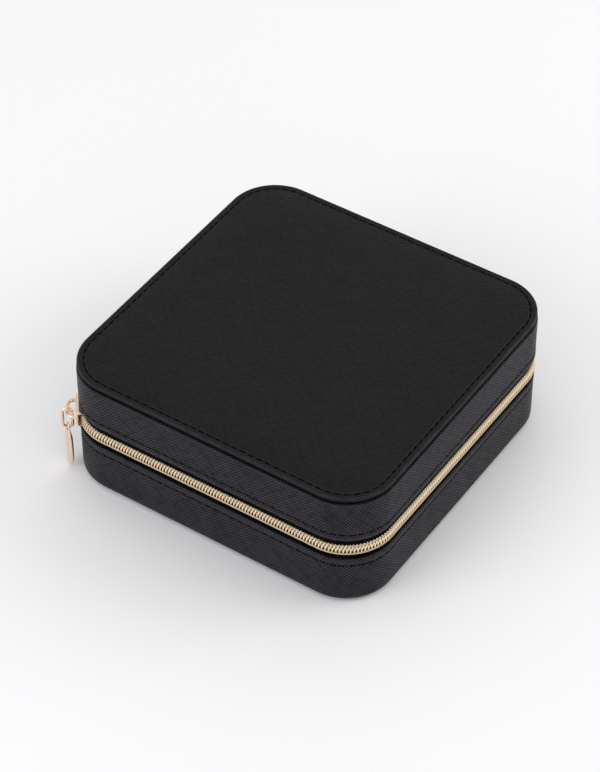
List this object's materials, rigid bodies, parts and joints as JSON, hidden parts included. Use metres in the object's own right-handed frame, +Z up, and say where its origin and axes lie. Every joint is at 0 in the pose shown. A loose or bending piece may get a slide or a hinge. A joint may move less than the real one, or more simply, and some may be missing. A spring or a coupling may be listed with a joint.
{
  "type": "zip-round jewellery case",
  "caption": "Square leather jewellery case with rounded corners, padded hinged lid, coil zip with pull, lined trays, ring rolls and a lid mirror.",
  "frame": {"origin": "centre of the square underside, on the surface that the case stands on", "axes": "+Z up through the lid; +Y towards the hinged back; -Y is the front and -X the left side, the two sides that the picture shows"},
  "size_m": [0.1606, 0.163, 0.0644],
  "materials": {
    "black_leather": "embossed cross-grain, semi-matt",
    "black_cover": "brushed non-slip cloth",
    "grey_board": "raw grey board",
    "suede_lining": "short-pile suede cloth",
    "suede_roll": "suede cloth over soft foam",
    "foam": "open-cell foam sheet",
    "zip_tape": "woven herringbone tape",
    "gold_coil": "metallised light gold",
    "rose_gold": "polished rose-gold plate",
    "mirror": "silvered glass"
  },
  "bodies": {
    "base": {"base_floor_board": "grey_board", "base_wall_board": "grey_board", "base_side_leather": "black_leather", "base_bottom_infill": "grey_board", "base_bottom_cover": "black_cover", "base_wall_lining": "suede_lining", "base_floor_lining": "suede_lining", "front_divider": "suede_lining", "back_divider": "suede_lining", "middle_divider": "suede_lining", "short_divider": "suede_lining", "lower_zip_tape": "zip_tape", "lower_zip_coil": "gold_coil", "lower_coil_end": "gold_coil", "lower_top_stop": "rose_gold", "zip_bottom_stop": "rose_gold", "hinge_leather": "black_leather", "hinge_lining": "suede_lining", "ring_roll_1": "suede_roll", "ring_roll_2": "suede_roll", "ring_roll_3": "suede_roll", "ring_roll_4": "suede_roll", "ring_roll_5": "suede_roll", "ring_roll_6": "suede_roll"},
    "lid": {"lid_top_board": "grey_board", "lid_wall_board": "grey_board", "lid_side_leather": "black_leather", "lid_infill_card": "grey_board", "top_panel_card": "grey_board", "top_panel_foam": "foam", "top_panel_leather": "black_leather", "lid_wall_lining": "suede_lining", "lid_ceiling_lining": "suede_lining", "mirror_glass": "mirror", "mirror_frame": "black_leather", "upper_zip_tape": "zip_tape", "upper_zip_coil": "gold_coil", "upper_tape_ends": "zip_tape", "upper_coil_ends": "gold_coil", "upper_top_stop": "rose_gold"},
    "slider": {"slider_body": "rose_gold", "slider_crown": "rose_gold"},
    "pull_link": {"pull_link": "rose_gold"},
    "pull_tab": {"pull_tab": "rose_gold"}
  },
  "joints": [
    {"name": "lid_hinge", "type": "hinge", "parent": "base", "child": "lid", "pos_m": [0, 0.08, 0.0323], "axis": [-1, 0, 0], "range_deg": [0, 110], "deforming": ["hinge_leather", "hinge_lining", "upper_tape_ends", "upper_coil_ends", "upper_top_stop"]},
    {"name": "slider_run", "type": "hinge", "parent": "base", "child": "slider", "pos_m": [-0.0567, 0.0567, 0.033], "axis": [0, 0, 1], "range_deg": [0, 54], "deforming": ["lower_coil_end"]},
    {"name": "link_swing", "type": "hinge", "parent": "slider", "child": "pull_link", "pos_m": [-0.07525, 0.07882, 0.033], "axis": [0.809, 0.5878, 0], "range_deg": [-3, 100]},
    {"name": "tab_swing", "type": "hinge", "parent": "pull_link", "child": "pull_tab", "pos_m": [-0.07525, 0.07882, 0.02384], "axis": [-0.5878, 0.809, 0], "range_deg": [-8, 25]}
  ]
}
